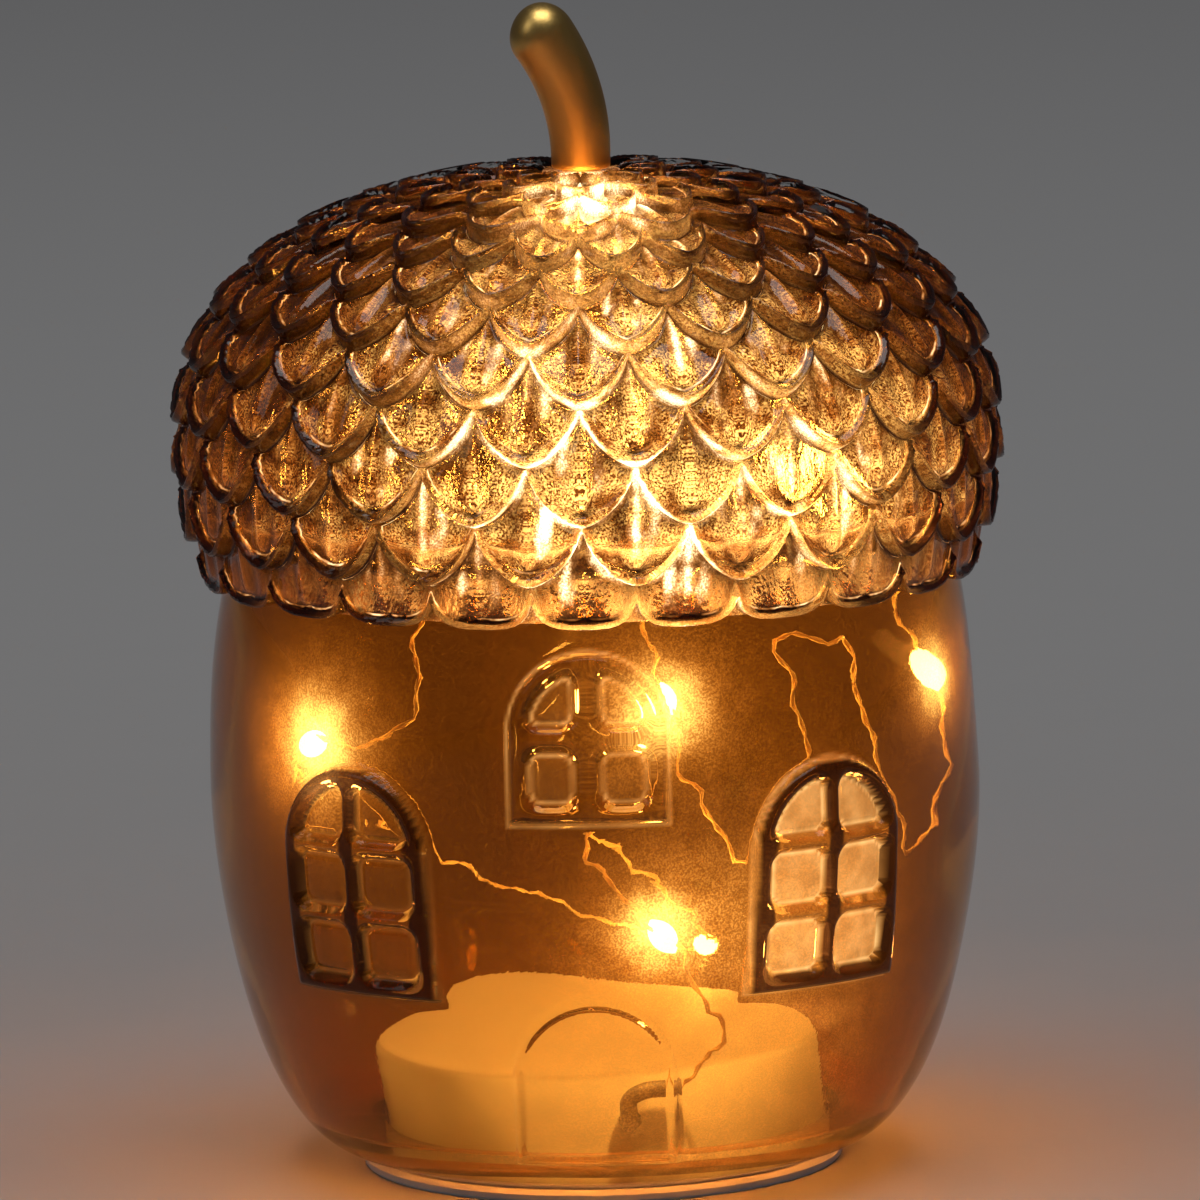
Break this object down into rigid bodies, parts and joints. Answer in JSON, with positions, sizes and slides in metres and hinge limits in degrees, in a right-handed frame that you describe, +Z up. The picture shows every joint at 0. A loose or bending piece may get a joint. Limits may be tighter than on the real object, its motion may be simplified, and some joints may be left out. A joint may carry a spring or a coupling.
{
  "type": "glass acorn lantern",
  "caption": "Moulded amber glass acorn house with a scaled cap and bent gold stem, lit inside by a wire string of warm LEDs fed from a white battery drum in its base.",
  "frame": {"origin": "centre of the base on the plane it rests on", "axes": "+Z up through the stem, -Y is the front with the moulded door, +X to the viewer's right"},
  "size_m": [0.1066, 0.1066, 0.1514],
  "materials": {
    "nut_glass": "amber-sprayed moulded glass, clear gloss",
    "cap_glass": "dark brown sprayed moulded glass, clear gloss",
    "satin_gold": "satin gold paint",
    "clear_silicone": "clear silicone",
    "white_plastic": "fine moulded texture",
    "cell_jacket": "printed film jacket without lettering",
    "nickel": "nickel plate",
    "board_laminate": "green solder mask",
    "black_plastic": "moulded black plastic",
    "red_jacket": "soft lead jacket",
    "black_jacket": "soft shrink sleeve",
    "copper_wire": "clear enamel over copper",
    "led_resin": "clear warm resin over a lit chip"
  },
  "bodies": {
    "lantern": {"glass_nut": "nut_glass", "glass_cap": "cap_glass", "stem": "satin_gold", "bond_ring": "clear_silicone", "base_plate": "white_plastic", "drum_cover": "white_plastic", "base_screw_1": "nickel", "base_screw_2": "nickel", "base_screw_3": "nickel", "base_screw_4": "nickel", "cell_1": "cell_jacket", "cell_2": "cell_jacket", "contact_spring_1": "nickel", "contact_spring_2": "nickel", "contact_minus": "nickel", "contact_plus": "nickel", "contact_bridge": "nickel", "circuit_board": "board_laminate", "timer_chip": "black_plastic", "resistor": "black_plastic", "switch_housing": "nickel", "red_lead": "red_jacket", "black_lead": "black_jacket", "string_lead": "copper_wire", "wire_sleeve": "black_jacket", "led_wire": "copper_wire", "led_bead_1": "led_resin", "led_bead_2": "led_resin", "led_bead_3": "led_resin", "led_bead_4": "led_resin", "led_bead_5": "led_resin", "led_bead_6": "led_resin", "led_bead_7": "led_resin", "led_bead_8": "led_resin", "led_bead_9": "led_resin", "led_bead_10": "led_resin"},
    "door": {"battery_door": "white_plastic"},
    "knob": {"switch_knob": "black_plastic"}
  },
  "joints": [
    {"name": "door_hinge", "type": "hinge", "parent": "lantern", "child": "door", "pos_m": [0, 0.0103, 0.0024], "axis": [1, 0, 0], "range_deg": [0, 95]},
    {"name": "switch_slide", "type": "slide", "parent": "lantern", "child": "knob", "axis": [1, 0, 0], "range_m": [0, 0.004]}
  ]
}
